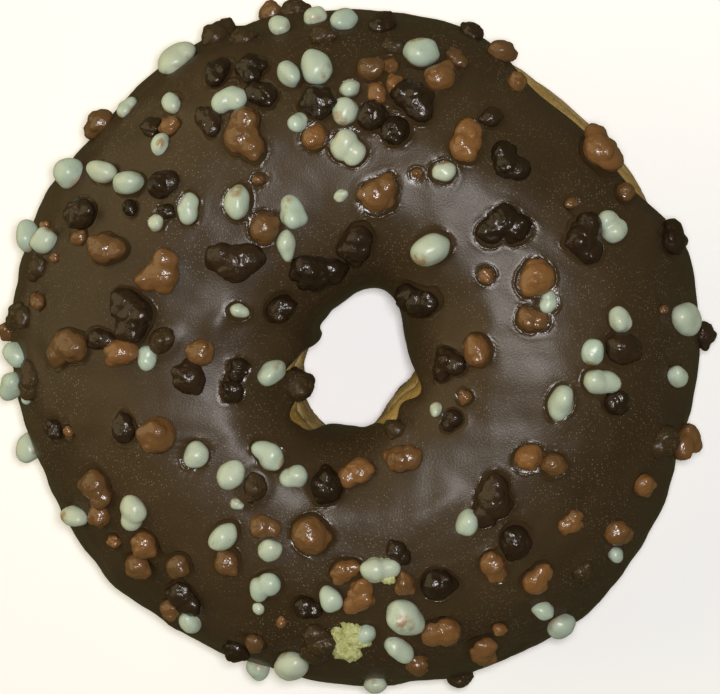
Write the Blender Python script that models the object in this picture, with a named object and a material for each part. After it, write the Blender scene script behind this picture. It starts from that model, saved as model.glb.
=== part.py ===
"""Croissant doughnut: a ring of layered pastry, iced with dark chocolate and set with crisp pearls.

Metres, +Z up. The doughnut rests on the flat underside of its pastry. The origin lies on that
plane, at the middle of the doughnut's own box. Turns round the ring are counted from +X.
"""

import math
import random

import bmesh
import bpy
from mathutils import Matrix, Vector

# The pastry's ring. Its section is a superellipse that is cut off flat at the table.
RIM_RADIUS = 0.0448         # widest circle
HOLE_RADIUS = 0.0094        # narrowest circle, in the hole
BELLY_HEIGHT = 0.0165       # height of both circles
CROWN = 0.0180              # from there up to the top
CROWN_LEAN = 0.0035         # how far the top leans towards the hole
KEEL = 0.0175               # from there down, if the underside weren't flat
SQUARENESS = 2.4            # power of the superellipse: 2 is a plain ellipse
AXIS = (0.0, -0.0006)   # the ring's axis, which puts the middle of the box at the origin

# How the hand-cut ring strays from true circles: times round, height, turn of the crest.
RIM_WAVES = ((2, 0.00065, -25), (3, 0.00035, -55), (4, 0.0002, 25), (5, 0.0002, 19), (7, 0.0002, 13))
HOLE_WAVES = ((1, 0.0011, -27), (2, 0.0018, 69), (3, 0.0005, 18), (4, 0.0004, -21), (5, 0.0004, -15))

# The layers that show on both flanks, below the icing.
LAYERS = 4
LAYER_PROUD = 0.0003        # how far a layer's edge stands out
LAYER_CLEFT = 0.0010        # how deep the clefts between layers are

# The icing: a skin from its outer lip over the top to its lip in the hole.
GAP = 0.0003                # between icing and pastry
ICING = 0.0017              # thickness
SWELL = 0.00025             # its low, broad waves
OUTER_LIP = -5.0            # angle of the outer lip in the section, 0 outwards and 90 up
INNER_LIP = 184.0           # angle of the lip in the hole, 180 towards the axis
LIP_NOSE = 1.8              # degrees by which the rounded edge overhangs the lip
LIP_SLIM = 0.7              # thickness at the lip, to the rest
OUTER_LIP_WAVES = ((3, 1.5, 200), (8, 2.0, 14), (13, 1.5, 5))
INNER_LIP_WAVES = ((3, 3.0, 80), (5, 3.0, 20), (9, 2.5, 10), (13, 2.5, 17))
# Where a lip stays high and leaves pastry bare: turn, spread and rise, in degrees.
OUTER_BARE = ((42, 22, 34.0),)
INNER_BARE = ((188, 24, 42.0), (233, 18, 46.0), (318, 38, 54.0))

# Steps round the ring and across its section.
TURN_STEPS = 60
COVER_STEPS = 6             # pastry under the icing, and the icing's inner side
ICING_STEPS = 11            # the icing's outer side

# The crisp pearls. The biggest are set by hand: turn, distance from the axis and length in
# millimetres, number of lobes.
BIG_PEARLS = {
    "white": ((51, 19, 5.2, 1), (350, 29, 4.8, 1), (89, 28, 5.4, 2), (108, 20, 5.0, 2),
              (284, 34, 5.5, 1), (216, 34, 5.2, 2), (76, 41, 5.0, 1), (234, 16, 4.8, 2),
              (95, 38, 4.7, 1), (113, 37, 4.9, 2), (252, 31, 4.6, 2), (26, 39, 4.8, 2),
              (147, 44, 4.4, 1)),
    "milk": ((154, 26, 6.4, 3), (78, 22, 6.0, 2), (114, 32, 6.4, 3), (202, 26, 5.8, 1),
             (279, 15, 5.2, 2), (301, 15, 5.2, 2), (260, 23, 5.3, 1), (207, 37, 5.6, 2),
             (104, 47, 4.2, 1), (177, 47, 4.0, 1)),
    "dark": ((41, 28, 6.2, 3), (74, 35, 6.0, 3), (27, 35, 6.4, 3), (318, 27, 6.2, 3),
             (38, 13, 5.8, 3), (136, 33, 5.2, 2), (3, 47, 4.4, 1), (288, 47, 4.0, 1)),
}
SMALL_PEARLS = 150          # the rest are strewn
# Their kinds: share of them all, mean and spread of a single one's length in millimetres, and
# how often one is single, two stuck together or three.
KINDS = {
    "white": (0.32, 3.7, 0.6, (0.84, 0.16, 0.0)),
    "milk": (0.29, 3.7, 0.7, (0.55, 0.33, 0.12)),
    "dark": (0.39, 3.5, 0.7, (0.45, 0.35, 0.20)),
}
PEARL_LEAST = 2.4           # least and most length of a single one, in millimetres
PEARL_MOST = 4.8
LONGER = (1.0, 1.3, 1.45)   # length with one, two or three stuck together, to a single one's
SLIMMEST = {"white": 0.66, "milk": 0.78, "dark": 0.78}      # least width of a single one, to its length,
ROUNDEST = 0.98             # and the most
LOBE_SIZE = 0.72            # radius of the first lobe of those stuck together, to half their length
LOBES_APART = (1.9, 2.6)    # angle between the second lobe and the third, in radians
LOBE_OFF = (0.75, 0.95)     # distance and radius of the other lobes, to the first one's radius
LOBE_LESS = (0.7, 0.9)
CLUMPED = 0.40              # share that lies against another one
CROWDING = 0.3              # how much denser they lie at two opposite turns,
CROWDED_TURNS = 100
LEANING = 0.35              # and at one of the sides
LEANING_TURN = 118
LIP_CROWDING = 0.8          # how much denser they lie round the hole,
LIP_WIDTH = 0.005           # and how far out that reaches
HOLE_CLEAR = 0.0020         # how far from the hole's wall they end,
RIM_PAST = 0.0015           # and how far past the rim
PEARL_TALL = 0.85           # height of a pearl's upper side, to its width
PEARL_SINK = 0.0011         # how deep a pearl sits in the icing
PEARL_STAND = 0.5           # height of its middle over the icing, to what a ball's would be
LIP_CLEAR = 0.1             # angle that pearls keep from the lips, in radians
PEARL_STEPS = (5, 3)        # steps round a single pearl, and from its top to its bottom,
CLUMP_STEPS = (6, 4)        # and on pearls that are stuck together
SEED = 743
TRIES = 40                  # how often a free place is looked for before a pearl is given up
APART = 0.0004              # least gap between pearls that lie free
TOUCHING = 0.9              # distance between two that touch, to the sum of their half lengths
PRESSED = 0.3               # how far they may overlap, to the half length
LEAN_ROUNDS = 8             # rounds that find a place's angle on the leaning crown


def waves(turn, terms):
    """The sum of some waves round the ring, each with its crest at a turn of its own."""
    return sum(high * math.cos(times * (turn - math.radians(crest))) for times, high, crest in terms)


def bare(turn, places):
    """How far a lip rises where it leaves the pastry bare, in degrees."""
    rise = 0.0
    for centre, spread, height in places:
        away = (math.degrees(turn) - centre + 180) % 360 - 180
        rise = max(rise, height * math.exp(-(away / spread) ** 4))
    return rise


def lips(turn):
    """The icing's two lips at a turn, as angles in the section."""
    outer = OUTER_LIP + waves(turn, OUTER_LIP_WAVES) + bare(turn, OUTER_BARE)
    inner = INNER_LIP + waves(turn, INNER_LIP_WAVES) - bare(turn, INNER_BARE)
    return math.radians(outer), math.radians(inner)


def signed_power(base, power):
    """A power that keeps the sign of its base."""
    return math.copysign(abs(base) ** power, base)


def ring(turn):
    """Middle radius and half width of the pastry at a turn."""
    rim = RIM_RADIUS + waves(turn, RIM_WAVES)
    hole = HOLE_RADIUS + waves(turn, HOLE_WAVES)
    return (rim + hole) / 2, (rim - hole) / 2


def outward(turn, angle):
    """The direction straight out of the pastry's skin."""
    half = ring(turn)[1]
    tall = CROWN if math.sin(angle) > 0 else KEEL
    power = 2 - 2 / SQUARENESS
    risen = max(0.0, signed_power(math.sin(angle), 2 / SQUARENESS))
    across = signed_power(math.cos(angle), power) / half
    up = signed_power(math.sin(angle), power) / tall + across * 2 * CROWN_LEAN * risen / tall
    return Vector((across * math.cos(turn), across * math.sin(turn), up)).normalized()


def skin(turn, angle, lift=0.0):
    """A point that lies `lift` above the pastry's smooth skin."""
    middle, half = ring(turn)
    tall = CROWN if math.sin(angle) > 0 else KEEL
    risen = signed_power(math.sin(angle), 2 / SQUARENESS)
    radius = middle + half * signed_power(math.cos(angle), 2 / SQUARENESS) - CROWN_LEAN * max(0.0, risen) ** 2
    x = AXIS[0] + radius * math.cos(turn)
    y = AXIS[1] + radius * math.sin(turn)
    foot = Vector((x, y, BELLY_HEIGHT + tall * risen))
    return foot + lift * outward(turn, angle)


def icing_top(turn, angle):
    """Height of the icing's outer side above the pastry's skin, with its broad waves."""
    swell = math.sin(3 * turn + 2 * angle + 0.6) + math.sin(5 * turn - 3 * angle)
    return GAP + ICING + SWELL * swell / 2


def spread(first, last, steps):
    """Evenly spaced values from first to last, with both ends."""
    return [first + (last - first) * step / steps for step in range(steps + 1)]


def flank(turn, foot, lip):
    """Points up one flank, from the flat underside to just below the icing, with the layers' relief."""
    angles = spread(foot, lip, 2 * LAYERS)[:-1]
    points = [skin(turn, foot)]
    points[0].z = 0.0
    for number, angle in enumerate(angles[1:], 1):
        relief = LAYER_PROUD if number % 2 else -LAYER_CLEFT
        points.append(skin(turn, angle, relief))
    return points


def pastry_section(turn):
    """The pastry's outline at a turn, from the underside's outer edge round to its inner edge."""
    outer, inner = lips(turn)
    foot = math.asin((BELLY_HEIGHT / KEEL) ** (SQUARENESS / 2))
    cover = [skin(turn, angle) for angle in spread(outer, inner, COVER_STEPS)]
    return flank(turn, -foot, outer) + cover + flank(turn, math.pi + foot, inner)[::-1]


def icing_section(turn):
    """The icing's outline at a turn: its rounded lips, its outer side and its inner side."""
    outer, inner = lips(turn)
    nose = math.radians(LIP_NOSE)
    top = spread(outer, inner, ICING_STEPS)
    lifts = [icing_top(turn, angle) for angle in top]
    lifts[0] = lifts[-1] = GAP + LIP_SLIM * ICING
    points = [skin(turn, outer - nose, GAP + LIP_SLIM * ICING / 2)]
    points += [skin(turn, angle, lift) for angle, lift in zip(top, lifts)]
    points += [skin(turn, inner + nose, GAP + LIP_SLIM * ICING / 2)]
    points += [skin(turn, angle, GAP) for angle in spread(inner, outer, COVER_STEPS)]
    return points


def material(name, colour, roughness):
    """A Principled material."""
    made = bpy.data.materials.new(name)
    made.use_nodes = True
    shader = made.node_tree.nodes["Principled BSDF"]
    shader.inputs["Base Color"].default_value = (*colour, 1.0)
    shader.inputs["Roughness"].default_value = roughness
    shader.inputs["Metallic"].default_value = 0.0
    return made


def add_object(name, shape, finish, collection=None):
    """Turn a bmesh into an object with its material."""
    mesh = bpy.data.meshes.new(name)
    shape.to_mesh(mesh)
    shape.free()
    mesh.materials.append(finish)
    made = bpy.data.objects.new(name, mesh)
    (collection or bpy.context.scene.collection).objects.link(made)
    return made


def closed_ring(name, section, finish):
    """A closed solid that runs round the axis, from its outline at every step of the turn.

    Each face is split along its shorter diagonal, so that two skins that lie one over the other
    keep their gap.
    """
    shape = bmesh.new()
    loops = []
    for step in range(TURN_STEPS):
        points = section(2 * math.pi * step / TURN_STEPS)
        loops.append([shape.verts.new(point) for point in points])
    for here, onward in zip(loops, loops[1:] + loops[:1]):
        for corner in range(len(here)):
            beyond = (corner + 1) % len(here)
            shape.faces.new((here[corner], onward[corner], onward[beyond], here[beyond]))
    bmesh.ops.triangulate(shape, faces=shape.faces, quad_method="SHORT_EDGE")
    return add_object(name, shape, finish)


def pearl_place(turn, reach):
    """Place on the icing at a distance from the axis, seen from above, with the way out of it."""
    middle, half = ring(turn)
    angle = math.pi / 2
    for _ in range(LEAN_ROUNDS):
        leant = CROWN_LEAN * math.sin(angle) ** (4 / SQUARENESS)
        share = max(-1.0, min(1.0, (reach - middle + leant) / (half + ICING)))
        angle = math.acos(signed_power(share, SQUARENESS / 2))
    outer, inner = lips(turn)
    angle = max(outer + LIP_CLEAR, min(inner - LIP_CLEAR, angle))
    return skin(turn, angle, icing_top(turn, angle)), outward(turn, angle)


def crowd(turn, reach):
    """How densely pearls lie at a place, up to 1: more on some sides of the ring and round the hole."""
    sides = 1 + waves(turn, ((2, CROWDING, CROWDED_TURNS), (1, LEANING, LEANING_TURN)))
    lip = LIP_CROWDING * math.exp(-((reach - HOLE_RADIUS) / LIP_WIDTH) ** 2)
    return (sides + lip) / (1 + CROWDING + LEANING + LIP_CROWDING)


def strewn_spot(dice, pearls, radius):
    """A turn and a distance from the axis for the next pearl, free or against another one."""
    against = dice.random() < CLUMPED
    for _ in range(TRIES):
        if against:
            other = dice.choice(pearls)
            way = dice.uniform(0, 2 * math.pi)
            apart = TOUCHING * (radius + other["radius"])
            turn = other["turn"] + apart * math.cos(way) / other["reach"]
            reach = other["reach"] + apart * math.sin(way)
        else:
            turn = dice.uniform(0, 2 * math.pi)
            reach = math.sqrt(dice.uniform(HOLE_RADIUS ** 2, (RIM_RADIUS + 2 * ICING) ** 2))
        middle, half = ring(turn)
        on_ring = HOLE_CLEAR - half < reach - middle < half + RIM_PAST
        if not on_ring or dice.random() > crowd(turn, reach):
            continue
        spot = pearl_place(turn, reach)[0]
        room = min((spot - pearl["spot"]).length - radius - pearl["radius"] for pearl in pearls)
        if room > (-PRESSED * radius if against else APART):
            return turn, reach
    return None


def pearl(dice, kind, turn, reach, length, lobes):
    """What one pearl is: its kind, its place and its lobes, each as a centre and a radius."""
    spot, normal = pearl_place(turn, reach)
    size = length / 2 * (1.0 if lobes == 1 else LOBE_SIZE)
    way = dice.uniform(0, 2 * math.pi)
    shape = [(Vector((0, 0, 0)), size)]
    for number in range(1, lobes):
        side = way + (number - 1) * dice.uniform(*LOBES_APART)
        off = size * dice.uniform(*LOBE_OFF)
        shape.append((Vector((math.cos(side), math.sin(side), 0)) * off, size * dice.uniform(*LOBE_LESS)))
    squeeze = dice.uniform(SLIMMEST[kind], ROUNDEST) if lobes == 1 else 1.0
    return {"kind": kind, "turn": turn, "reach": reach, "spot": spot, "normal": normal,
            "radius": length / 2, "lobes": shape, "way": way, "squeeze": squeeze}


def all_pearls():
    """Every pearl on the icing: the biggest at their places, then the strewn ones."""
    dice = random.Random(SEED)
    pearls = []
    for kind, pieces in BIG_PEARLS.items():
        for turn, reach, length, lobes in pieces:
            pearls.append(pearl(dice, kind, math.radians(turn), reach / 1000, length / 1000, lobes))
    for _ in range(SMALL_PEARLS):
        kind = dice.choices(list(KINDS), [share for share, *rest in KINDS.values()])[0]
        share, mean, strays, lobed = KINDS[kind]
        lobes = dice.choices((1, 2, 3), lobed)[0]
        length = max(PEARL_LEAST, min(PEARL_MOST, dice.gauss(mean, strays))) / 1000 * LONGER[lobes - 1]
        spot = strewn_spot(dice, pearls, length / 2)
        if spot:
            pearls.append(pearl(dice, kind, *spot, length, lobes))
    return pearls


def surface(way, lobes):
    """Distance from a pearl's middle to its skin in one direction."""
    far = 0.0
    for centre, radius in lobes:
        along = way.dot(centre)
        inside = along ** 2 - centre.length_squared + radius ** 2
        if inside > 0:
            far = max(far, along + math.sqrt(inside))
    return far


def pearl_shape(one):
    """A pearl's solid, with its underside flattened to the depth that it sits in the icing."""
    shape = bmesh.new()
    single = len(one["lobes"]) == 1
    sides, rings = PEARL_STEPS if single else CLUMP_STEPS
    widen = 1 / math.sqrt(math.cos(math.pi / sides) * math.sin(math.pi / rings * (rings // 2)))
    bmesh.ops.create_uvsphere(shape, u_segments=sides, v_segments=rings, radius=1.0)
    along = Vector((-math.sin(one["turn"]), math.cos(one["turn"]), 0.0))
    across = one["normal"].cross(along).normalized()
    along = across.cross(one["normal"])
    size = one["lobes"][0][1]
    stand = max(0.0, size - PEARL_SINK) * PEARL_STAND
    for vert in shape.verts:
        way = vert.co.normalized()
        point = way * surface(way, one["lobes"])
        if single:
            point.y *= one["squeeze"]
            point.rotate(Matrix.Rotation(one["way"], 3, "Z"))
        point.z *= PEARL_TALL if point.z > 0 else (stand + PEARL_SINK) / size
        side = (along * point.x + across * point.y) * widen
        vert.co = one["spot"] + side + one["normal"] * (point.z + stand)
    bmesh.ops.recalc_face_normals(shape, faces=shape.faces)
    return shape


def remove(collection):
    """Delete a collection with everything in it."""
    for made in list(collection.objects):
        bpy.data.objects.remove(made, do_unlink=True)
    bpy.data.collections.remove(collection)


def pastry_ring():
    """The fried ring of croissant dough, with its layers showing on both flanks."""
    return closed_ring("pastry_ring", pastry_section, material("baked_pastry", (0.42, 0.24, 0.06), 0.6))


def icing():
    """The chocolate icing, with the pearls fused to it."""
    chocolate = material("dark_chocolate", (0.040, 0.026, 0.010), 0.35)
    coat = closed_ring("icing", icing_section, chocolate)
    pearls = bpy.data.collections.new("pearls")
    bpy.context.scene.collection.children.link(pearls)
    for number, one in enumerate(all_pearls()):
        add_object(f"pearl_{number}", pearl_shape(one), chocolate, pearls)
    union = coat.modifiers.new("pearls", "BOOLEAN")
    union.operation = "UNION"
    union.operand_type = "COLLECTION"
    union.collection = pearls
    union.solver = "EXACT"
    bpy.context.view_layer.objects.active = coat
    bpy.ops.object.modifier_apply(modifier=union.name)
    remove(pearls)
    return coat


for leftover in list(bpy.data.objects):
    bpy.data.objects.remove(leftover, do_unlink=True)
pastry_ring()
icing()
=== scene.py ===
import math
import random

import bpy
import numpy as np
from mathutils import Matrix, Vector, noise


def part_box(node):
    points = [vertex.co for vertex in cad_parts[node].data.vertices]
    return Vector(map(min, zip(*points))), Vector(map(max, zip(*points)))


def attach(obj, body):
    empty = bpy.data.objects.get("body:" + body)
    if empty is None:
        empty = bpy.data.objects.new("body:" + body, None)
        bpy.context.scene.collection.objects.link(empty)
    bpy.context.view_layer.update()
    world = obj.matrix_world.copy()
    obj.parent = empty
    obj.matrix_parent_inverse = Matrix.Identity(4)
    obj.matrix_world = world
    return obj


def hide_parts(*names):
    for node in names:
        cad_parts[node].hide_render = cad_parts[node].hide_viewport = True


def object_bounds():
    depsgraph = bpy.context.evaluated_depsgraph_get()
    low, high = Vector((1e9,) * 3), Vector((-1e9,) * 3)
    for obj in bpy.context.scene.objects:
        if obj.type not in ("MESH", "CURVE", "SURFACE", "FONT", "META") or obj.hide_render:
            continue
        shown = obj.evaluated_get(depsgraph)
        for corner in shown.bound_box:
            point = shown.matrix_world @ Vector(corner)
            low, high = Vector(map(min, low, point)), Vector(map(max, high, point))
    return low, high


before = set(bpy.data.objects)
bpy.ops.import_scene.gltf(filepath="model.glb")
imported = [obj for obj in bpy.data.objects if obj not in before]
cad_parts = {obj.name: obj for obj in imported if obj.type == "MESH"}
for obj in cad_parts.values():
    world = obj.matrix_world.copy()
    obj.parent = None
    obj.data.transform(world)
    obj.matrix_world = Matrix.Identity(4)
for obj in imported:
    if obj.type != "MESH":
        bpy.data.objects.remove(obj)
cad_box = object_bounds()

# ---- The pastry -----------------------------------------------------------------------------
# A ring of croissant dough, cut from a folded sheet, proved and fried. The cut opens its layers,
# which swell into ledges with clefts between them on both flanks. The underside is flat from
# lying on the rack, and nothing holds the ring but its own crust.

pastry_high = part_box("pastry_ring")[1]
AXIS = (0.0, -0.0006)       # the ring's axis
RIM_RADIUS = 0.0448
HOLE_RADIUS = 0.0094
BELLY_HEIGHT = 0.0165       # height of the widest and the narrowest circle
CROWN = pastry_high.z - BELLY_HEIGHT
CROWN_LEAN = 0.0035         # how far the top leans towards the hole
KEEL = 0.0175
SQUARENESS = 2.4            # power of the section's superellipse
RIM_WAVES = ((2, 0.00065, -25), (3, 0.00035, -55), (4, 0.0002, 25), (5, 0.0002, 19), (7, 0.0002, 13))
HOLE_WAVES = ((1, 0.0011, -27), (2, 0.0018, 69), (3, 0.0005, 18), (4, 0.0004, -21), (5, 0.0004, -15))

# Where the icing ends, as angles in the section: 0 faces outwards, 90 up, 180 the hole.
OUTER_LIP = -5.0
INNER_LIP = 184.0
OUTER_LIP_WAVES = ((3, 1.5, 200), (8, 2.0, 14), (13, 1.5, 5))
INNER_LIP_WAVES = ((3, 3.0, 80), (5, 3.0, 20), (9, 2.5, 10), (13, 2.5, 17))
OUTER_BARE = ((42, 22, 34.0),)                                      # turn, spread and rise
INNER_BARE = ((188, 24, 42.0), (233, 18, 46.0), (318, 38, 54.0))

# Where the stretches of the section end, as shares of its points: the outer flank, what the icing
# covers and the inner flank. The rest is the underside.
OUTER_ENDS = 0.40
COVER_ENDS = 0.50
INNER_ENDS = 0.88
RING_STEPS = (300, 160)     # points round the ring and round its section

LAYERS = 4
LAYER_PROUD = 0.0003
LAYER_CLEFT = 0.0010
LAYER_BLUNTNESS = 0.6       # the lower, the squarer the ledges
SHEET_PITCH = 0.0011        # the thin sheets of dough that each layer is made of
SHEET_DRIFT = 0.0007        # how far they wander up and down
SHEET_CLEFT = 0.0004
SHEET_BLUNTNESS = 0.5
SHEET_LEAST = 0.7           # depth of their clefts on average, as noise makes them uneven
CRUST_LUMPS = 0.0004
# Waves to a metre: of the sheets' drift, coarse and fine, of their clefts' depth and of the lumps.
DRIFT_WAVES = (130, 420)
CLEFT_WAVES = 240
LUMP_WAVES = 170

CRUST_GOLDEN = ((0.35, 0.21, 0.050), (0.49, 0.34, 0.115))
CRUST_PALE = (0.64, 0.51, 0.24)
CRUST_SCORCHED = (0.19, 0.095, 0.02)
CRUST_ROUGHNESS = (0.42, 0.62)
CRUST_DEPTH = (0.0012, 0.0007, 0.0003)  # how far light of each colour goes in


def waves(turn, terms):
    """The sum of some waves round the ring, each with its crest at a turn of its own."""
    return sum(high * np.cos(times * (turn - math.radians(crest))) for times, high, crest in terms)


def bare(turn, places):
    """How far a lip rises where it leaves the pastry bare, in degrees."""
    rise = 0.0
    for centre, spread, height in places:
        away = (np.degrees(turn) - centre + 180) % 360 - 180
        rise = np.maximum(rise, height * np.exp(-(away / spread) ** 4))
    return rise


def lips(turn):
    """The icing's two lips at a turn, as angles in the section."""
    outer = OUTER_LIP + waves(turn, OUTER_LIP_WAVES) + bare(turn, OUTER_BARE)
    inner = INNER_LIP + waves(turn, INNER_LIP_WAVES) - bare(turn, INNER_BARE)
    return np.radians(outer), np.radians(inner)


def signed_power(base, power):
    """A power that keeps the sign of its base."""
    return np.sign(base) * np.abs(base) ** power


def ring(turn):
    """Middle radius and half width of the pastry at a turn."""
    rim = RIM_RADIUS + waves(turn, RIM_WAVES)
    hole = HOLE_RADIUS + waves(turn, HOLE_WAVES)
    return (rim + hole) / 2, (rim - hole) / 2


def outward(turn, angle):
    """The direction straight out of the pastry's smooth skin."""
    half = ring(turn)[1]
    tall = np.where(np.sin(angle) > 0, CROWN, KEEL)
    power = 2 - 2 / SQUARENESS
    risen = np.maximum(0, signed_power(np.sin(angle), 2 / SQUARENESS))
    across = signed_power(np.cos(angle), power) / half
    up = signed_power(np.sin(angle), power) / tall + across * 2 * CROWN_LEAN * risen / tall
    way = np.stack((across * np.cos(turn), across * np.sin(turn), up), axis=-1)
    return way / np.linalg.norm(way, axis=-1, keepdims=True)


def skin(turn, angle, lift):
    """Points that lie `lift` above the pastry's smooth skin."""
    middle, half = ring(turn)
    tall = np.where(np.sin(angle) > 0, CROWN, KEEL)
    risen = signed_power(np.sin(angle), 2 / SQUARENESS)
    radius = middle + half * signed_power(np.cos(angle), 2 / SQUARENESS)
    radius = radius - CROWN_LEAN * np.maximum(0, risen) ** 2
    x = AXIS[0] + radius * np.cos(turn)
    y = AXIS[1] + radius * np.sin(turn)
    foot = np.stack((x, y, BELLY_HEIGHT + tall * risen), axis=-1)
    return foot + np.asarray(lift)[..., None] * outward(turn, angle)


def grain(points, scale, start=0.0):
    """Smooth noise from about -1 to 1 at many points, with `scale` waves to their unit."""
    shift = Vector((start, 0.7 * start, -start))
    return np.array([noise.noise(Vector(point) * scale + shift) for point in points])


def shaped_ring(name, steps_round, steps_across, outline):
    """A torus with its points moved to outline(turn, share), where share goes round the section."""
    bpy.ops.object.select_all(action="DESELECT")
    major, minor = 0.03, 0.01
    bpy.ops.mesh.primitive_torus_add(major_radius=major, minor_radius=minor,
                                     major_segments=steps_round, minor_segments=steps_across)
    made = bpy.context.object
    made.name = name
    points = np.empty(3 * len(made.data.vertices), np.float32)
    made.data.vertices.foreach_get("co", points)
    x, y, z = points.reshape(-1, 3).astype(float).T
    turn = np.arctan2(y, x)
    share = np.arctan2(z, np.hypot(x, y) - major) / (2 * math.pi) * steps_across
    share = np.round(share) % steps_across / steps_across
    made.data.vertices.foreach_set("co", outline(turn, share).ravel())
    made.data.update()
    bpy.ops.object.shade_smooth()
    return made, turn, share


def mark(piece, name, values):
    """Store one number for each of a piece's points, for its material."""
    layer = piece.data.attributes.new(name, "FLOAT", "POINT")
    layer.data.foreach_set("value", np.asarray(values, np.float32))


def pastry_part(turn, share):
    """Where a share of the way round the section is: its angle, and how far up a flank it lies."""
    outer, inner = lips(turn)
    foot = math.asin((BELLY_HEIGHT / KEEL) ** (SQUARENESS / 2))
    climb = np.clip(share / OUTER_ENDS, 0, 1)
    over = np.clip((share - OUTER_ENDS) / (COVER_ENDS - OUTER_ENDS), 0, 1)
    down = np.clip((share - COVER_ENDS) / (INNER_ENDS - COVER_ENDS), 0, 1)
    under = np.clip((share - INNER_ENDS) / (1 - INNER_ENDS), 0, 1)
    angle = -foot + (outer + foot) * climb + (inner - outer) * over + (math.pi + foot - inner) * down
    up = np.where(share <= OUTER_ENDS, climb, np.where(share < COVER_ENDS, 1.0, 1 - down))
    return angle, up, under


def layer_bulge(up):
    """How far out of its clefts a layer swells at a height up a flank, from 0 to 1."""
    return np.abs(np.sin(math.pi * LAYERS * up)) ** LAYER_BLUNTNESS


def pastry_outline(turn, share):
    """The pastry with its ledges, clefts, sheets and lumps, and a flat underside."""
    angle, up, under = pastry_part(turn, share)
    smooth = skin(turn, angle, 0 * turn)
    ends = np.clip(2 * LAYERS * np.minimum(up, 1 - up), 0, 1)
    coarse, fine = DRIFT_WAVES
    drift = grain(smooth, coarse) + 0.4 * grain(smooth, fine, start=3)
    sheet = (smooth[:, 2] + SHEET_DRIFT * drift) / SHEET_PITCH
    crease = 1 - np.abs(np.sin(math.pi * sheet)) ** SHEET_BLUNTNESS
    relief = -LAYER_CLEFT + (LAYER_PROUD + LAYER_CLEFT) * layer_bulge(up)
    relief -= SHEET_CLEFT * crease * (SHEET_LEAST + grain(smooth, CLEFT_WAVES, start=9))
    relief += CRUST_LUMPS * grain(smooth, LUMP_WAVES, start=20)
    points = skin(turn, angle, relief * ends)
    other = skin(turn, math.pi - angle, 0 * turn)
    below = under[:, None]
    points = np.where(below > 0, (1 - below) * smooth + below * other, points)
    points[:, 2] = np.where(under > 0, 0, np.maximum(points[:, 2], 0))
    return points


pastry, turn, share = shaped_ring("pastry", *RING_STEPS, pastry_outline)
angle, up, under = pastry_part(turn, share)
mark(pastry, "cleft", (1 - layer_bulge(up)) * (under == 0))


def add(tree, kind, **values):
    """Add a node and set its inputs or its own settings by name."""
    made = tree.nodes.new("ShaderNode" + kind)
    for name, value in values.items():
        if hasattr(made, name):
            setattr(made, name, value)
        else:
            made.inputs[name.replace("_", " ")].default_value = value
    return made


def mixed(tree, share, first, second):
    """A colour between two colours or colour sockets, by a share between 0 and 1."""
    made = add(tree, "Mix", data_type="RGBA")
    for socket, value in ((0, share), (6, first), (7, second)):
        if isinstance(value, bpy.types.NodeSocket):
            tree.links.new(value, made.inputs[socket])
        else:
            made.inputs[socket].default_value = value if socket == 0 else (*value, 1)
    return made.outputs[2]


def ranged(tree, value, low, high, to_low=0.0, to_high=1.0):
    """A value stretched from one range to another, without going past it."""
    made = add(tree, "MapRange", From_Min=low, From_Max=high, To_Min=to_low, To_Max=to_high)
    tree.links.new(value, made.inputs["Value"])
    return made.outputs["Result"]


def finish_of(name):
    """A new material: its node tree, its shader and the coordinates in the object."""
    made = bpy.data.materials.new(name)
    made.use_nodes = True
    tree = made.node_tree
    shader = tree.nodes["Principled BSDF"]
    place = add(tree, "TexCoord").outputs["Object"]
    return made, tree, shader, place


def speckle(tree, place, scale, detail=2.0, roughness=0.5):
    """Noise between 0 and 1, with `scale` waves to a metre."""
    made = add(tree, "TexNoise", Scale=scale, Detail=detail, Roughness=roughness)
    tree.links.new(place, made.inputs["Vector"])
    return made.outputs["Fac"]


def marked(tree, name):
    """What mark() stored on the piece."""
    return add(tree, "Attribute", attribute_name=name).outputs["Fac"]


def roughened(tree, height, strength, distance, below=None):
    """A bumped normal, on top of another one if given."""
    made = add(tree, "Bump", Strength=strength, Distance=distance)
    tree.links.new(height, made.inputs["Height"])
    if below:
        tree.links.new(below, made.inputs["Normal"])
    return made.outputs["Normal"]


def fried_crust():
    """Golden fried dough: browner on the proud edges, paler in the clefts, oily in places."""
    made, tree, shader, place = finish_of("fried_crust")
    mottled = ranged(tree, speckle(tree, place, 160, 4), 0.35, 0.65)
    golden = mixed(tree, mottled, *CRUST_GOLDEN)
    pale = mixed(tree, ranged(tree, marked(tree, "cleft"), 0.25, 0.9), golden, CRUST_PALE)
    scorched = ranged(tree, speckle(tree, place, 420, 5, 0.65), 0.56, 0.72)
    tree.links.new(mixed(tree, scorched, pale, CRUST_SCORCHED), shader.inputs["Base Color"])
    tree.links.new(ranged(tree, mottled, 0, 1, *CRUST_ROUGHNESS), shader.inputs["Roughness"])
    fine = roughened(tree, speckle(tree, place, 2600, 4, 0.6), 0.5, 0.0002)
    blistered = roughened(tree, speckle(tree, place, 700, 3), 0.5, 0.0005, fine)
    tree.links.new(blistered, shader.inputs["Normal"])
    shader.inputs["Subsurface Weight"].default_value = 0.08
    shader.inputs["Subsurface Radius"].default_value = CRUST_DEPTH
    return made


pastry.data.materials.append(fried_crust())
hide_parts("pastry_ring")
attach(pastry, "root")

# ---- Where the pearls fall ------------------------------------------------------------------
# Crisp pearls, puffed cereal balls with a chocolate coat, are strewn while the icing is soft, so
# their places come before the icing, which closes in round them. The biggest are set one by one,
# and the rest lie evenly, denser on two sides and round the hole, some of them in clumps.

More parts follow.
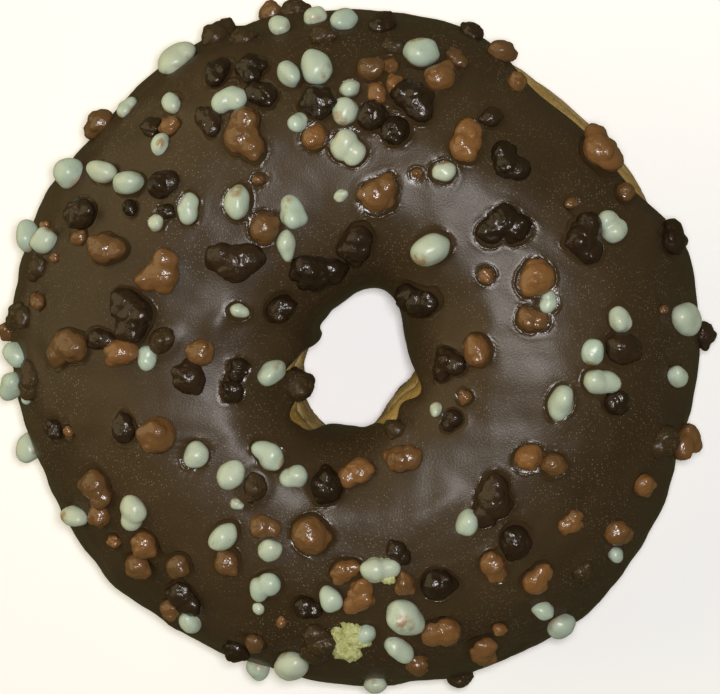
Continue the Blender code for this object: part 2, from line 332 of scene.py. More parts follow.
GAP = 0.0003                # between pastry and icing
ICING = 0.0017
SWELL = 0.00025             # the icing's low, broad waves
BIG_PEARLS = {              # turn, distance from the axis and length in millimetres, lobes
    "white": ((51, 19, 5.2, 1), (350, 29, 4.8, 1), (89, 28, 5.4, 2), (108, 20, 5.0, 2),
              (284, 34, 5.5, 1), (216, 34, 5.2, 2), (76, 41, 5.0, 1), (234, 16, 4.8, 2),
              (95, 38, 4.7, 1), (113, 37, 4.9, 2), (252, 31, 4.6, 2), (26, 39, 4.8, 2),
              (147, 44, 4.4, 1)),
    "milk": ((154, 26, 6.4, 3), (78, 22, 6.0, 2), (114, 32, 6.4, 3), (202, 26, 5.8, 1),
             (279, 15, 5.2, 2), (301, 15, 5.2, 2), (260, 23, 5.3, 1), (207, 37, 5.6, 2),
             (104, 47, 4.2, 1), (177, 47, 4.0, 1)),
    "dark": ((41, 28, 6.2, 3), (74, 35, 6.0, 3), (27, 35, 6.4, 3), (318, 27, 6.2, 3),
             (38, 13, 5.8, 3), (136, 33, 5.2, 2), (3, 47, 4.4, 1), (288, 47, 4.0, 1)),
}
SMALL_PEARLS = 150          # the rest are strewn
# Their kinds: share of them all, mean and spread of a single one's length in millimetres, and
# how often one is single, two stuck together or three.
KINDS = {
    "white": (0.32, 3.7, 0.6, (0.84, 0.16, 0.0)),
    "milk": (0.29, 3.7, 0.7, (0.55, 0.33, 0.12)),
    "dark": (0.39, 3.5, 0.7, (0.45, 0.35, 0.20)),
}
PEARL_LEAST = 2.4
PEARL_MOST = 4.8
LONGER = (1.0, 1.3, 1.45)   # length with one, two or three stuck together, to a single one's
SLIMMEST = {"white": 0.66, "milk": 0.78, "dark": 0.78}
ROUNDEST = 0.98
LOBE_SIZE = 0.72            # radius of the first of several lobes, to half the pearl's length,
LOBE_LESS = (0.7, 0.9)      # of the others, to the first one's,
LOBE_OFF = (0.75, 0.95)     # how far out they lie, to the same,
LOBES_APART = (1.9, 2.6)    # and the angle between them
LIP_CLEAR = 0.1             # how far a pearl stays from the icing's lips, as an angle
CLUMPED = 0.40              # share of the strewn ones that lie against another one
CROWDING = 0.3              # how much denser they lie on two sides,
CROWDED_TURNS = 100
LEANING = 0.35              # on one of these above all,
LEANING_TURN = 118
LIP_CROWDING = 0.8          # and round the hole
LIP_WIDTH = 0.005
HOLE_CLEAR = 0.0020         # how far they stay from the edge of the hole,
RIM_PAST = 0.0015           # and how far past the rim they may lie
SEED = 743
TRIES = 40
APART = 0.0004              # least gap round a free one
TOUCHING = 0.9              # distance between two that stick together, to the sum of their radii
PRESSED = 0.3               # how far one may be pressed into others, to its radius
LEAN_ROUNDS = 8


def icing_top(turn, angle):
    """Height of the icing's outer side above the pastry's skin, with its broad waves."""
    swell = np.sin(3 * turn + 2 * angle + 0.6) + np.sin(5 * turn - 3 * angle)
    return GAP + ICING + SWELL * swell / 2


def pearl_place(turn, reach):
    """Place on the icing at a distance from the axis, seen from above, with the way out of it."""
    middle, half = ring(turn)
    angle = math.pi / 2
    for _ in range(LEAN_ROUNDS):
        leant = CROWN_LEAN * math.sin(angle) ** (4 / SQUARENESS)
        part = max(-1.0, min(1.0, (reach - middle + leant) / (half + ICING)))
        angle = math.acos(signed_power(part, SQUARENESS / 2))
    outer, inner = lips(turn)
    angle = max(outer + LIP_CLEAR, min(inner - LIP_CLEAR, angle))
    return skin(turn, angle, icing_top(turn, angle)), outward(turn, angle)


def crowd(turn, reach):
    """How densely pearls lie at a place, up to 1."""
    sides = 1 + waves(turn, ((2, CROWDING, CROWDED_TURNS), (1, LEANING, LEANING_TURN)))
    lip = LIP_CROWDING * math.exp(-((reach - HOLE_RADIUS) / LIP_WIDTH) ** 2)
    return (sides + lip) / (1 + CROWDING + LEANING + LIP_CROWDING)


def strewn_spot(dice, pearls, radius):
    """A turn and a distance from the axis for the next pearl, free or against another one."""
    against = dice.random() < CLUMPED
    for _ in range(TRIES):
        if against:
            other = dice.choice(pearls)
            way = dice.uniform(0, 2 * math.pi)
            apart = TOUCHING * (radius + other["radius"])
            turn = other["turn"] + apart * math.cos(way) / other["reach"]
            reach = other["reach"] + apart * math.sin(way)
        else:
            turn = dice.uniform(0, 2 * math.pi)
            reach = math.sqrt(dice.uniform(HOLE_RADIUS ** 2, (RIM_RADIUS + 2 * ICING) ** 2))
        middle, half = ring(turn)
        on_ring = HOLE_CLEAR - half < reach - middle < half + RIM_PAST
        if not on_ring or dice.random() > crowd(turn, reach):
            continue
        spot = pearl_place(turn, reach)[0]
        room = min(math.dist(spot, pearl["spot"]) - radius - pearl["radius"] for pearl in pearls)
        if room > (-PRESSED * radius if against else APART):
            return turn, reach
    return None


def pearl(dice, kind, turn, reach, length, lobes):
    """What one pearl is: its kind, its place and its lobes, each as a centre and a radius."""
    spot, normal = pearl_place(turn, reach)
    size = length / 2 * (1.0 if lobes == 1 else LOBE_SIZE)
    way = dice.uniform(0, 2 * math.pi)
    shape = [(np.zeros(3), size)]
    for number in range(1, lobes):
        side = way + (number - 1) * dice.uniform(*LOBES_APART)
        off = size * dice.uniform(*LOBE_OFF)
        shape.append((off * np.array((math.cos(side), math.sin(side), 0)), size * dice.uniform(*LOBE_LESS)))
    squeeze = dice.uniform(SLIMMEST[kind], ROUNDEST) if lobes == 1 else 1.0
    return {"kind": kind, "turn": turn, "reach": reach, "spot": spot, "normal": normal,
            "radius": length / 2, "lobes": shape, "way": way, "squeeze": squeeze}


def all_pearls():
    """Every pearl on the icing: the biggest at their places, then the strewn ones."""
    dice = random.Random(SEED)
    pearls = []
    for kind, pieces in BIG_PEARLS.items():
        for turn, reach, length, lobes in pieces:
            pearls.append(pearl(dice, kind, math.radians(turn), reach / 1000, length / 1000, lobes))
    for _ in range(SMALL_PEARLS):
        kind = dice.choices(list(KINDS), [facts[0] for facts in KINDS.values()])[0]
        mean, strays, lobed = KINDS[kind][1:]
        lobes = dice.choices((1, 2, 3), lobed)[0]
        length = max(PEARL_LEAST, min(PEARL_MOST, dice.gauss(mean, strays))) / 1000 * LONGER[lobes - 1]
        spot = strewn_spot(dice, pearls, length / 2)
        if spot:
            pearls.append(pearl(dice, kind, *spot, length, lobes))
    return pearls


# Each pearl is a pebble with knobs: all its lobes run into each other, and its coat is uneven. It
# sits in the icing up to a little below its middle, and most have a dent with a raised edge round
# them. Some dark ones have icing over them. Beads, the smallest bits, lie between the pearls.
PEARL_TALL = 0.85           # height of a pearl's upper side, to its width
PEARL_SINK = 0.0011
PEARL_STAND = 0.5           # height of its middle over the icing, to what a ball's would be
# How many knobs for each lobe, how large and how far out to the lobe's own radius, how sharply
# they meet, and how uneven the coat is, in broad lumps and in fine wrinkles.
PEBBLES = {
    "white": (2, (0.55, 0.82), (0.32, 0.66), 7, 0.11, 0.006),
    "milk": (7, (0.28, 0.50), (0.60, 0.86), 18, 0.06, 0.040),
    "dark": (8, (0.26, 0.46), (0.62, 0.90), 22, 0.06, 0.055),
}
LUMP_PITCH = (1.2, 4.5)     # waves of those lumps and wrinkles to the pearl's radius
KNOB_LOWEST = -0.1          # lowest way out of the middle that a knob points
COVERED = 0.18              # share of the dark ones that have icing over them,
COVERED_RIM = 0.6           # and of those at the rim
RIM_REACH = 0.041
DENTED = 0.7                # share of the pearls with a dent
SLIP = 0.00035              # how far a dent may lie to one side
BEADS = 18
BEAD_SIZE = (1.3, 2.3)      # in millimetres
HANGING = (210, 8.5, 4.8, 1)    # a dark one over the hole's lip: turn, distance, length, lobes
PATCHED = 0.22              # share of the white ones with a brown patch
CRACKED = 4                 # the big white one whose coat broke open on top

# The ways out in which a pearl's mean radius is taken, so that its knobs don't make it larger.
BALL_WAYS = [(x, y, z) for x in (-1, 0, 1) for y in (-1, 0, 1) for z in (-1, 0, 1) if x or y or z]
BALL_WAYS = np.array(BALL_WAYS) / np.linalg.norm(BALL_WAYS, axis=1, keepdims=True)


def any_way(dice, lowest):
    """A direction at random, no lower than a limit."""
    height = dice.uniform(lowest, 1)
    turn = dice.uniform(0, 2 * math.pi)
    flat = math.sqrt(1 - height ** 2)
    return np.array((flat * math.cos(turn), flat * math.sin(turn), height))


def strewn_beads(pearls):
    """The smallest bits of coating, free of the pearls, and the one that hangs over the lip."""
    dice = random.Random(SEED + 1)
    beads = []
    while len(beads) < BEADS:
        length = dice.uniform(*BEAD_SIZE) / 1000
        spot = strewn_spot(dice, pearls + beads, length / 2)
        if spot:
            beads.append(pearl(dice, dice.choice(("white", "milk")), *spot, length, 1))
    turn, reach, length, lobes = HANGING
    beads.append(pearl(dice, "dark", math.radians(turn), reach / 1000, length / 1000, lobes))
    return beads


def finished(pearls):
    """Each pearl with its knobs, its dent and its tone."""
    dice = random.Random(SEED + 2)
    for number, one in enumerate(pearls):
        knobs, sizes, offs = PEBBLES[one["kind"]][:3]
        one["knobs"] = []
        for centre, radius in one["lobes"]:
            for _ in range(knobs):
                off = radius * dice.uniform(*offs) * any_way(dice, KNOB_LOWEST)
                one["knobs"].append((centre + off, radius * dice.uniform(*sizes)))
        one["seed"] = 3.7 * number
        covered = COVERED_RIM if one["reach"] > RIM_REACH else COVERED
        one["covered"] = one["kind"] == "dark" and dice.random() < covered
        one["dent"] = dice.uniform(0.4, 1.0) if dice.random() < DENTED else 0.0
        one["slip"] = dice.uniform(0, SLIP) * any_way(dice, 0)
        one["tone"] = dice.random()
        one["patch"] = any_way(dice, 0.1) if dice.random() < PATCHED else None
        if number == CRACKED:
            one["patch"] = np.array((0.0, 0.0, 1.0))
    return pearls


def lobes_reach(lobes, ways, blend):
    """Distance from the middle to the skin of lobes that run into each other."""
    far = np.zeros(len(ways))
    for centre, radius in lobes:
        along = ways @ centre
        inside = along ** 2 - centre @ centre + radius ** 2
        reach = np.where(inside > 0, along + np.sqrt(np.maximum(inside, 0)), 0)
        far += np.maximum(reach, 0) ** blend
    return far ** (1 / blend)


def pearl_skin(one, ways):
    """Points on a pearl's skin in the given directions, in its own frame."""
    blend, broad, fine = PEBBLES[one["kind"]][3:]
    plain = lobes_reach(one["lobes"], BALL_WAYS, blend)
    knobbed = lobes_reach(one["lobes"] + one["knobs"], BALL_WAYS, blend)
    far = lobes_reach(one["lobes"] + one["knobs"], ways, blend) * plain.mean() / knobbed.mean()
    lumps, wrinkles = (grain(ways, pitch, one["seed"]) for pitch in LUMP_PITCH)
    far *= 1 + broad * lumps + fine * wrinkles
    points = ways * far[:, None]
    if len(one["lobes"]) == 1:
        c, s = math.cos(one["way"]), math.sin(one["way"])
        points[:, 1] *= one["squeeze"]
        points[:, :2] = points[:, :2] @ np.array(((c, s), (-s, c)))
    return points


def pearl_frame(one):
    """A pearl's own directions, along the ring, across it and out of the icing, and its lift."""
    along = np.array((-math.sin(one["turn"]), math.cos(one["turn"]), 0.0))
    across = np.cross(one["normal"], along)
    across /= np.linalg.norm(across)
    along = np.cross(across, one["normal"])
    size = one["lobes"][0][1]
    return along, across, one["normal"], max(0.0, size - PEARL_SINK) * PEARL_STAND


strewn = all_pearls()
pearls = finished(strewn + strewn_beads(strewn))

# ---- The icing ------------------------------------------------------------------------------
# Dark chocolate icing, in which the ring was dipped upside down. It set as a satin skin with
# rounded lips and low swells, and it wells up round each pearl. Its few burst-bubble pits are
# only painted shade: near-black dots in its colour, with no pits in its shape.

LIP_NOSE = 1.8              # degrees by which the rounded edge overhangs the lip
LIP_SLIM = 0.7              # thickness at the lip, to the rest
LIP_TAPER = math.radians(10)
STEPS_ROUND = 600
STEPS_ACROSS = 166
LIP_STEPS = 5
INNER_STEPS = 8             # the side that lies on the pastry
OUTER_STEPS = STEPS_ACROSS - 2 * LIP_STEPS - INNER_STEPS
DENT_DEPTH = 0.00028
DENT_WIDTH = 0.00025
BROW_HEIGHT = 0.00011       # the raised edge of a dent
BROW_AWAY = 0.00060
BROW_WIDTH = 0.00040
FILLET_WIDTH = 0.0007       # icing that climbs up a covered pearl
FILLET_HEIGHT = 0.0003
EDGE_STEPS = 73             # points round a pearl's edge, from which its dent is worked out
RIPPLE = 0.00022
RIPPLE_WAVES = (130, 380)   # to a metre, coarse and fine
SAGS = 0.0006               # lumps low on the outer flank, where it sagged before it set
SAG_WAVES = (120, 300)
SAG_BELOW = 1.5             # angle in the section where they start, growing downwards
# Low folds where it ran before it set: turn and its spread, distance from the axis and half width
# in millimetres, and height.
FOLDS = ((236, 26, 17.5, 1.6, 0.00035), (262, 20, 20.0, 2.0, 0.00030), (15, 30, 20.0, 2.6, 0.00030),
         (48, 14, 17.0, 1.8, 0.00035), (163, 9, 17.0, 1.3, 0.00040), (128, 20, 20.0, 2.4, 0.00030),
         (300, 16, 23.0, 2.2, 0.00030), (92, 18, 31.0, 2.4, 0.00030))
FAR = 0.005                 # past this the icing feels no pearl

ICING_BROWN = ((0.036, 0.0222, 0.0098), (0.050, 0.0315, 0.0143))
# Colour of the pale specks: partly the bloom of fat, partly painted sparkle.
FAT_AND_SPARKLE = (0.230, 0.190, 0.130)
# Colour of the dots where bubbles burst: painted shade of pits, which the shape lacks.
PIT_SHADE = (0.004, 0.003, 0.002)
ICING_ROUGHNESS = (0.20, 0.39)  # where it welled up round a pearl, and elsewhere
ICING_IOR = 1.31
RIM_HEIGHT = 0.00018            # of the thin broken ring round a dent


def icing_part(turn, share):
    """Angle in the section and lift over the pastry at a share of the way round, before any dent."""
    outer, inner = lips(turn)
    step = share * STEPS_ACROSS
    first = np.clip(step / LIP_STEPS, 0, 1)
    over = np.clip((step - LIP_STEPS) / OUTER_STEPS, 0, 1)
    last = np.clip((step - LIP_STEPS - OUTER_STEPS) / LIP_STEPS, 0, 1)
    back = np.clip((step - 2 * LIP_STEPS - OUTER_STEPS) / INNER_STEPS, 0, 1)
    angle = outer + (inner - outer) * (over - back)
    nose = math.radians(LIP_NOSE)
    angle = angle - nose * np.sin(math.pi * first) * (over == 0)
    angle = angle + nose * np.sin(math.pi * last) * (back == 0)
    near = np.minimum(angle - outer, inner - angle) / LIP_TAPER
    slim = LIP_SLIM + (1 - LIP_SLIM) * np.sqrt(np.clip(near * (2 - np.minimum(near, 1)), 0, 1))
    top = GAP + (icing_top(turn, angle) - GAP) * slim
    lip = GAP + LIP_SLIM * ICING / 2 * (1 - np.cos(math.pi * (first - last)))
    on_top = (over > 0) & (over < 1)
    lift = np.where(on_top, top, np.where(back > 0, GAP, lip))
    return angle, lift, on_top, np.clip(near, 0, 1)


def icing_outline(turn, share):
    """The icing with its dents, fillets and ripples."""
    angle, lift, on_top, near = icing_part(turn, share)
    base = skin(turn, angle, lift)
    dent = np.zeros(len(base))
    brow = np.zeros(len(base))
    nearest = np.full(len(base), FAR)
    around = np.linspace(-math.pi, math.pi, EDGE_STEPS)
    ways = np.stack((np.cos(around), np.sin(around), 0 * around), axis=-1)
    for one in pearls:
        along, across = pearl_frame(one)[:2]
        away = base - one["spot"]
        close = np.flatnonzero((np.abs(away) < 2 * FAR).all(axis=1) & on_top)
        x = away[close] @ along - one["slip"][0]
        y = away[close] @ across - one["slip"][1]
        edge = pearl_skin(one, ways)
        edge_turns = np.arctan2(edge[:, 1], edge[:, 0])
        order = np.argsort(edge_turns)
        radius = np.interp(np.arctan2(y, x), edge_turns[order], np.hypot(edge[:, 0], edge[:, 1])[order],
                           period=2 * math.pi)
        beyond = np.hypot(x, y) - radius
        if one["covered"]:
            fillet = FILLET_HEIGHT * np.exp(-(np.maximum(beyond, 0) / FILLET_WIDTH) ** 2)
            brow[close] = np.maximum(brow[close], fillet)
            continue
        nearest[close] = np.minimum(nearest[close], np.where(one["dent"] > 0, beyond, FAR))
        inside = np.exp(-(np.maximum(beyond, 0) / DENT_WIDTH) ** 2)
        dent[close] = np.maximum(dent[close], one["dent"] * DENT_DEPTH * inside)
        raised = np.exp(-((beyond - BROW_AWAY) / BROW_WIDTH) ** 2)
        brow[close] = np.maximum(brow[close], one["dent"] * BROW_HEIGHT * raised)
    coarse, fine = RIPPLE_WAVES
    ripple = RIPPLE * (grain(base, coarse, start=5) + 0.4 * grain(base, fine, start=8))
    coarse, fine = SAG_WAVES
    low_down = np.clip(SAG_BELOW - angle, 0, 1)
    ripple += SAGS * low_down * (grain(base, coarse, start=12) + 0.5 * grain(base, fine, start=14))
    distance = 1000 * np.hypot(base[:, 0] - AXIS[0], base[:, 1] - AXIS[1])
    folds = np.zeros(len(base))
    for centre, spread, reach, width, height in FOLDS:
        off = (np.degrees(turn) - centre + 180) % 360 - 180
        folds += height * np.exp(-(off / spread) ** 2 - ((distance - reach) / width) ** 2)
    relief = np.where(on_top, ripple + folds + brow - dent, 0)
    icing_marks["beyond"] = nearest * 1000
    return skin(turn, angle, lift + relief * near)


icing_marks = {}
icing = shaped_ring("chocolate_icing", STEPS_ROUND, STEPS_ACROSS, icing_outline)[0]
mark(icing, "beyond", icing_marks["beyond"])


def ramped(tree, value, *stops):
    """A height that follows a value through stops, each as a place between 0 and 1 and a height."""
    made = add(tree, "ValToRGB")
    made.color_ramp.interpolation = "B_SPLINE"
    while len(made.color_ramp.elements) < len(stops):
        made.color_ramp.elements.new(0.5)
    for stop, (place, height) in zip(made.color_ramp.elements, stops):
        stop.position = place
        stop.color = (height, height, height, 1)
    tree.links.new(value, made.inputs["Fac"])
    return made.outputs["Color"]


def times(tree, first, second):
    """The product of two values."""
    made = add(tree, "Math", operation="MULTIPLY")
    tree.links.new(first, made.inputs[0])
    tree.links.new(second, made.inputs[1])
    return made.outputs[0]


def scattered_dots(tree, place, scale, size):
    """Dots up to 1, for the specks of fat and sparkle and for the painted shade of pits: one for about
    every second cell of a pattern.
    """
    cells = add(tree, "TexVoronoi", Scale=scale)
    tree.links.new(place, cells.inputs["Vector"])
    chosen = add(tree, "SeparateColor")
    tree.links.new(cells.outputs["Color"], chosen.inputs[0])
    round_one = ranged(tree, cells.outputs["Distance"], size, 0.4 * size)
    return times(tree, round_one, ranged(tree, chosen.outputs[0], 0.1, 0.8))


def set_chocolate():
    """Dark chocolate: a satin skin with tiny pale specks of fat in it, which also serve as painted sparkle,
    with painted shade for its burst-bubble pits, glossy where it welled up.
    """
    made, tree, shader, place = finish_of("set_chocolate")
    beyond = marked(tree, "beyond")
    cloudy = ranged(tree, speckle(tree, place, 70, 3), 0.3, 0.7)
    brown = mixed(tree, cloudy, *ICING_BROWN)
    # Pale specks of fat, which also stand in as painted sparkle: they stay brighter than the sheen.
    patches = ranged(tree, speckle(tree, place, 110, 3), 0.38, 0.60, 0.15, 1)
    fat_and_sparkle_specks = times(tree, scattered_dots(tree, place, 3000.0, 0.30), patches)
    fat_and_sparkle_specks = times(tree, fat_and_sparkle_specks, ranged(tree, beyond, 0.4, 1.0))
    brown_with_fat_and_sparkle = mixed(tree, ranged(tree, fat_and_sparkle_specks, 0, 1, 0, 0.8), brown, FAT_AND_SPARKLE)
    # Near-black dots: painted shade of burst-bubble pits, which the shape doesn't have.
    pit_shade_dots = scattered_dots(tree, place, 120.0, 0.035)
    tree.links.new(mixed(tree, pit_shade_dots, brown_with_fat_and_sparkle, PIT_SHADE), shader.inputs["Base Color"])
    tree.links.new(ranged(tree, beyond, 0.3, 1.1, *ICING_ROUGHNESS), shader.inputs["Roughness"])
    rim = ramped(tree, ranged(tree, beyond, 0, 2), (0, 0), (0.10, 0), (0.20, 1), (0.33, 0), (0.50, 0))
    broken = ranged(tree, speckle(tree, place, 420, 2), 0.38, 0.60)
    crisp = roughened(tree, times(tree, rim, broken), 1, RIM_HEIGHT)
    broad = roughened(tree, speckle(tree, place, 600, 2), 0.12, 0.0001, crisp)
    satin = roughened(tree, speckle(tree, place, 4500, 2), 0.5, 0.00005, broad)
    tree.links.new(satin, shader.inputs["Normal"])
    shader.inputs["IOR"].default_value = ICING_IOR
    return made


icing.data.materials.append(set_chocolate())
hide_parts("icing")
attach(icing, "root")

# ---- The crisp pearls -----------------------------------------------------------------------
# Puffed cereal in white, milk and dark chocolate, polished in a drum. They are as uneven as
# gravel, and many are two or three stuck together. The icing that set round them holds them.

# Steps round and down of each kind's ball: the smooth white ones need the fewest.
BALL_STEPS = {"white": (36, 24), "milk": (44, 30), "dark": (48, 32)}
# Their coats: the dullest and the brightest tone, the colour low on them near the icing, partly
# chocolate smearing and partly painted shade, how much of it there is at most, how rough the coat
# is and how strongly its fine wrinkles show.
COATS = {
    "white": ((0.385, 0.480, 0.405), (0.445, 0.505, 0.400), (0.30, 0.19, 0.08), 0.8, 0.36, 0.12),
    "milk": ((0.102, 0.052, 0.020), (0.190, 0.088, 0.029), (0.045, 0.023, 0.010), 0.85, 0.25, 0.8),
    "dark": ((0.017, 0.0095, 0.0048), (0.030, 0.0170, 0.0085), (0.012, 0.007, 0.004), 0.6, 0.27, 0.8),
}
WRINKLE_DEPTH = 0.0003
DARK_IOR = 1.40
PATCH = (0.27, 0.16, 0.06)
PATCH_REACH = (0.78, 0.93)      # cosines of the angle from a patch's middle at its edge
SPECK = (0.20, 0.21, 0.17)
WHITE_DEPTH = (0.0010, 0.0009, 0.0006)  # how far light of each colour goes into a white one
COATED_BEYOND = 0.9             # the skin over a covered pearl is like that near one, in millimetres


def held_in(points, middle):
    """Points drawn in towards a middle until they keep inside the box."""
    low, high = (np.array(corner) for corner in cad_box)
    away = points - middle
    room = np.where(away > 0, high - middle, middle - low) / np.maximum(np.abs(away), 1e-9)
    return middle + away * min(1.0, room.min())


def pearl_piece(name, kind, covered=False):
    """The pearls of one kind, with or without icing over them, modelled from one ball and joined."""
    bpy.ops.object.select_all(action="DESELECT")
    steps_round, steps_down = BALL_STEPS[kind]
    bpy.ops.mesh.primitive_uv_sphere_add(segments=steps_round, ring_count=steps_down, radius=1)
    ball = bpy.context.object
    ways = np.array([tuple(vert.co.normalized()) for vert in ball.data.vertices])
    made = []
    for one in pearls:
        if one["kind"] != kind or one["covered"] != covered:
            continue
        along, across, out, lifted = pearl_frame(one)
        points = pearl_skin(one, ways)
        size = one["lobes"][0][1]
        points[:, 2] *= np.where(points[:, 2] > 0, PEARL_TALL, (lifted + PEARL_SINK) / size)
        height = points[:, 2] + lifted
        copy = ball.copy()
        copy.data = ball.data.copy()
        bpy.context.collection.objects.link(copy)
        placed = one["spot"] + points[:, :1] * along + points[:, 1:2] * across + height[:, None] * out
        copy.data.vertices.foreach_set("co", held_in(placed, np.array(one["spot"])).ravel())
        mark(copy, "height", height * 1000)
        mark(copy, "tone", np.full(len(placed), one["tone"]))
        mark(copy, "patch", np.zeros(len(ways)) if one["patch"] is None else ways @ one["patch"])
        made.append(copy)
    bpy.data.objects.remove(ball)
    for copy in made:
        copy.select_set(True)
    bpy.context.view_layer.objects.active = made[0]
    bpy.ops.object.join()
    made[0].name = name
    bpy.ops.object.shade_smooth()
    return made[0]


def coating(kind):
    """A polished chocolate coat, in a tone between two for each pearl, which turns darker and browner low
    near the icing: partly chocolate smearing, partly painted shade.
    """
    dull, bright, smear_and_shade, most_smear_and_shade, roughness, wrinkle = COATS[kind]
    made, tree, shader, place = finish_of(kind + "_coat")
    tone = mixed(tree, marked(tree, "tone"), dull, bright)
    # Low on the pearl, near the icing, the coat turns to another colour: partly chocolate smearing, partly
    # painted shade where the pearl meets the icing.
    low = ranged(tree, marked(tree, "height"), 1.0, -0.1)
    blotches = ranged(tree, speckle(tree, place, 520, 3), 0.48, 0.62, 0, most_smear_and_shade)
    coat = mixed(tree, times(tree, low, blotches), tone, smear_and_shade)
    tree.links.new(coat, shader.inputs["Base Color"])
    shader.inputs["Roughness"].default_value = roughness
    bumped = roughened(tree, speckle(tree, place, 1000, 3, 0.5), wrinkle, WRINKLE_DEPTH)
    tree.links.new(bumped, shader.inputs["Normal"])
    return made, tree, shader, place, coat


white_pearls = pearl_piece("white_pearls", "white")
white_coat, tree, shader, place, coat = coating("white")
spread = ranged(tree, marked(tree, "patch"), *PATCH_REACH)
ragged = ranged(tree, speckle(tree, place, 600, 5, 0.6), 0.40, 0.58, 0, 0.85)
patched = mixed(tree, times(tree, spread, ragged), coat, PATCH)
specks = ranged(tree, speckle(tree, place, 2100, 2), 0.70, 0.76, 0, 0.6)
tree.links.new(mixed(tree, specks, patched, SPECK), shader.inputs["Base Color"])
shader.inputs["Subsurface Weight"].default_value = 0.2
shader.inputs["Subsurface Radius"].default_value = WHITE_DEPTH
white_pearls.data.materials.append(white_coat)
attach(white_pearls, "root")

milk_pearls = pearl_piece("milk_pearls", "milk")
milk_pearls.data.materials.append(coating("milk")[0])
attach(milk_pearls, "root")

dark_pearls = pearl_piece("dark_pearls", "dark")
dark_coat, tree, shader, place, coat = coating("dark")
shader.inputs["IOR"].default_value = DARK_IOR
dark_pearls.data.materials.append(dark_coat)
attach(dark_pearls, "root")

coated_pearls = pearl_piece("coated_pearls", "dark", covered=True)
mark(coated_pearls, "beyond", np.full(len(coated_pearls.data.vertices), COATED_BEYOND))
coated_pearls.data.materials.append(bpy.data.materials["set_chocolate"])
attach(coated_pearls, "root")

# ---- The crumbs -----------------------------------------------------------------------------
# Two crumbs of pale filling, which fell on the icing while it was soft. Each is a loose clump of
# small craggy lumps, which stick to each other and to the icing.

CRUMBS = ((282, 28.0, 3.2, 12), (271, 36.6, 4.6, 18))   # turn, distance and breadth in mm, lumps
LUMP_SIZE = (0.16, 0.30)        # of a lump, to the clump's breadth
LUMP_OFF = 0.4                  # how far out of the middle the furthest lie
LUMP_STEPS = 4
LUMP_NARROW = (0.6, 1)
LUMP_TALL = 0.75
LUMP_STAND = (0.3, 0.9)         # height of its middle over the icing, to its size
CRAG = 0.45
CRAG_PITCH = (1.6, 5)           # waves of its crags to its radius, coarse and fine
CRUMB_PALE = ((0.28, 0.30, 0.11), (0.48, 0.50, 0.24))

dice = random.Random(SEED + 3)
lumps = []
for turn, reach, breadth, count in CRUMBS:
    spot, out = pearl_place(math.radians(turn), reach / 1000)
    for _ in range(count):
        size = breadth / 1000 * dice.uniform(*LUMP_SIZE)
        way = dice.uniform(0, 2 * math.pi)
        off = LUMP_OFF * breadth / 1000 * math.sqrt(dice.random())
        bpy.ops.mesh.primitive_ico_sphere_add(subdivisions=LUMP_STEPS, radius=1)
        lump = bpy.context.object
        ways = np.array([tuple(vert.co) for vert in lump.data.vertices])
        coarse, fine = (grain(ways, pitch, dice.uniform(0, 90)) for pitch in CRAG_PITCH)
        craggy = 1 + CRAG * coarse + 0.5 * CRAG * fine
        points = ways * (size * craggy)[:, None] * (1, dice.uniform(*LUMP_NARROW), LUMP_TALL)
        middle = spot + np.array((off * math.cos(way), off * math.sin(way), 0))
        middle += out * size * dice.uniform(*LUMP_STAND)
        lump.data.vertices.foreach_set("co", (points + middle).ravel())
        lumps.append(lump)
for lump in lumps:
    lump.select_set(True)
bpy.context.view_layer.objects.active = lumps[0]
bpy.ops.object.join()
crumbs = lumps[0]
crumbs.name = "crumbs"
bpy.ops.object.shade_smooth()
crumb, tree, shader, place = finish_of("pale_crumb")
pale = mixed(tree, ranged(tree, speckle(tree, place, 900, 4), 0.35, 0.65), *CRUMB_PALE)
tree.links.new(pale, shader.inputs["Base Color"])
shader.inputs["Roughness"].default_value = 0.7
porous = roughened(tree, speckle(tree, place, 3000, 4, 0.6), 0.6, 0.0002)
tree.links.new(porous, shader.inputs["Normal"])
crumbs.data.materials.append(crumb)
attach(crumbs, "root")

# ---- The table and the light ----------------------------------------------------------------
# A pale table, a wide soft light from the left and a small bright one beside the camera, which
# looks almost straight down, from a little beyond the far right of the ring.

TABLE_SIZE = 6
TABLE_COLOUR = (0.92, 0.93, 0.96, 1)
TABLE_GLOW = (0.92, 0.95, 1.0, 1)
GLOW_STRENGTH = 0.16            # makes it as bright as under a light as wide as a room
LEAN = math.radians(7)          # of the view from straight down
LEAN_TURN = math.radians(42)
CAMERA_AWAY = 0.34
AIM = Vector((0.0008, -0.0001, 0.018))
SHOWN = 0.0988                  # width of the view at the belly of the ring
SENSOR = 36
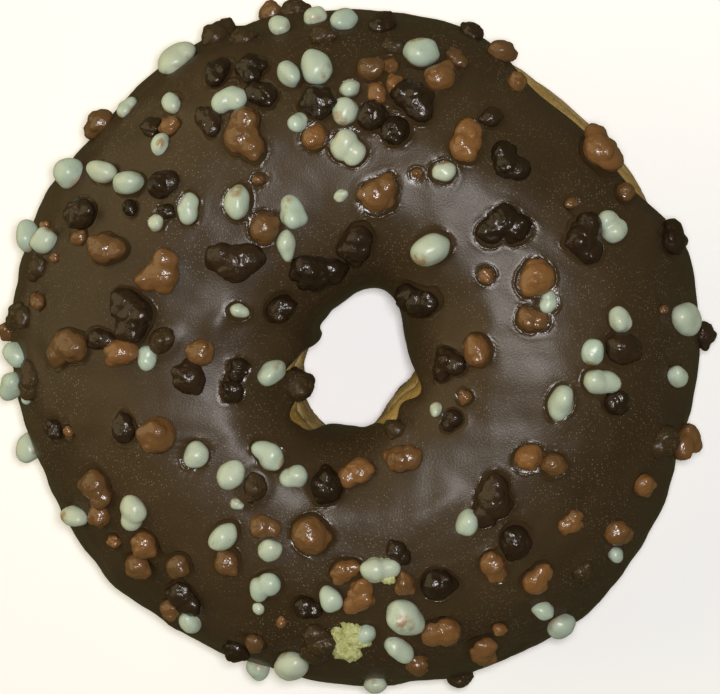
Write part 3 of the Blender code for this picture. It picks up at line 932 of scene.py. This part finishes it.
# The lights: size, power and colour, with the flash's place beside the camera and the window's own.
FLASH_OFF = Vector((0.005, 0.003, 0.0))
FLASH = (0.025, 0.88, (1.0, 0.97, 0.96))
WINDOW_PLACE = (-0.35, 0.14, 0.23)
WINDOW = (0.55, 1.26, (1.0, 0.84, 0.48))
ROOM_COLOUR = (1.0, 0.95, 0.40, 1)
ROOM_STRENGTH = 0.10

bpy.ops.object.select_all(action="DESELECT")
bpy.ops.mesh.primitive_plane_add(size=TABLE_SIZE)
table = bpy.context.object
table.name = "table"
paper, tree, shader, place = finish_of("pale_table")
shader.inputs["Base Color"].default_value = TABLE_COLOUR
shader.inputs["Roughness"].default_value = 0.7
shader.inputs["Emission Color"].default_value = TABLE_GLOW
shader.inputs["Emission Strength"].default_value = GLOW_STRENGTH
table.data.materials.append(paper)
table.visible_glossy = False    # so that its sheen doesn't grey the dark flanks


def aimed(place, target):
    """A rotation that looks from a place to a target, with +Y up in the view."""
    ahead = (target - place).normalized()
    right = ahead.cross(Vector((0, 1, 0))).normalized()
    up = right.cross(ahead)
    return Matrix((right, up, -ahead)).transposed().to_euler()


def lamp(name, place, size, power, colour):
    """A square light that looks at the doughnut."""
    light = bpy.data.lights.new(name, "AREA")
    light.size = size
    light.energy = power
    light.color = colour
    made = bpy.data.objects.new(name, light)
    bpy.context.scene.collection.objects.link(made)
    made.location = place
    made.rotation_euler = aimed(Vector(place), AIM)


flat = math.sin(LEAN)
away = Vector((flat * math.cos(LEAN_TURN), flat * math.sin(LEAN_TURN), math.cos(LEAN)))
camera = bpy.data.objects.new("camera", bpy.data.cameras.new("camera"))
bpy.context.scene.collection.objects.link(camera)
camera.location = AIM + away * CAMERA_AWAY
camera.rotation_euler = aimed(camera.location, AIM)
camera.data.sensor_width = SENSOR
camera.data.lens = SENSOR * CAMERA_AWAY / SHOWN
camera.data.clip_start = 0.01
bpy.context.scene.camera = camera

lamp("flash", camera.location + FLASH_OFF, *FLASH)
lamp("window", WINDOW_PLACE, *WINDOW)
world = bpy.data.worlds.new("room")
bpy.context.scene.world = world
world.use_nodes = True
world.node_tree.nodes["Background"].inputs["Color"].default_value = ROOM_COLOUR
world.node_tree.nodes["Background"].inputs["Strength"].default_value = ROOM_STRENGTH
bpy.context.scene.view_settings.view_transform = "Standard"
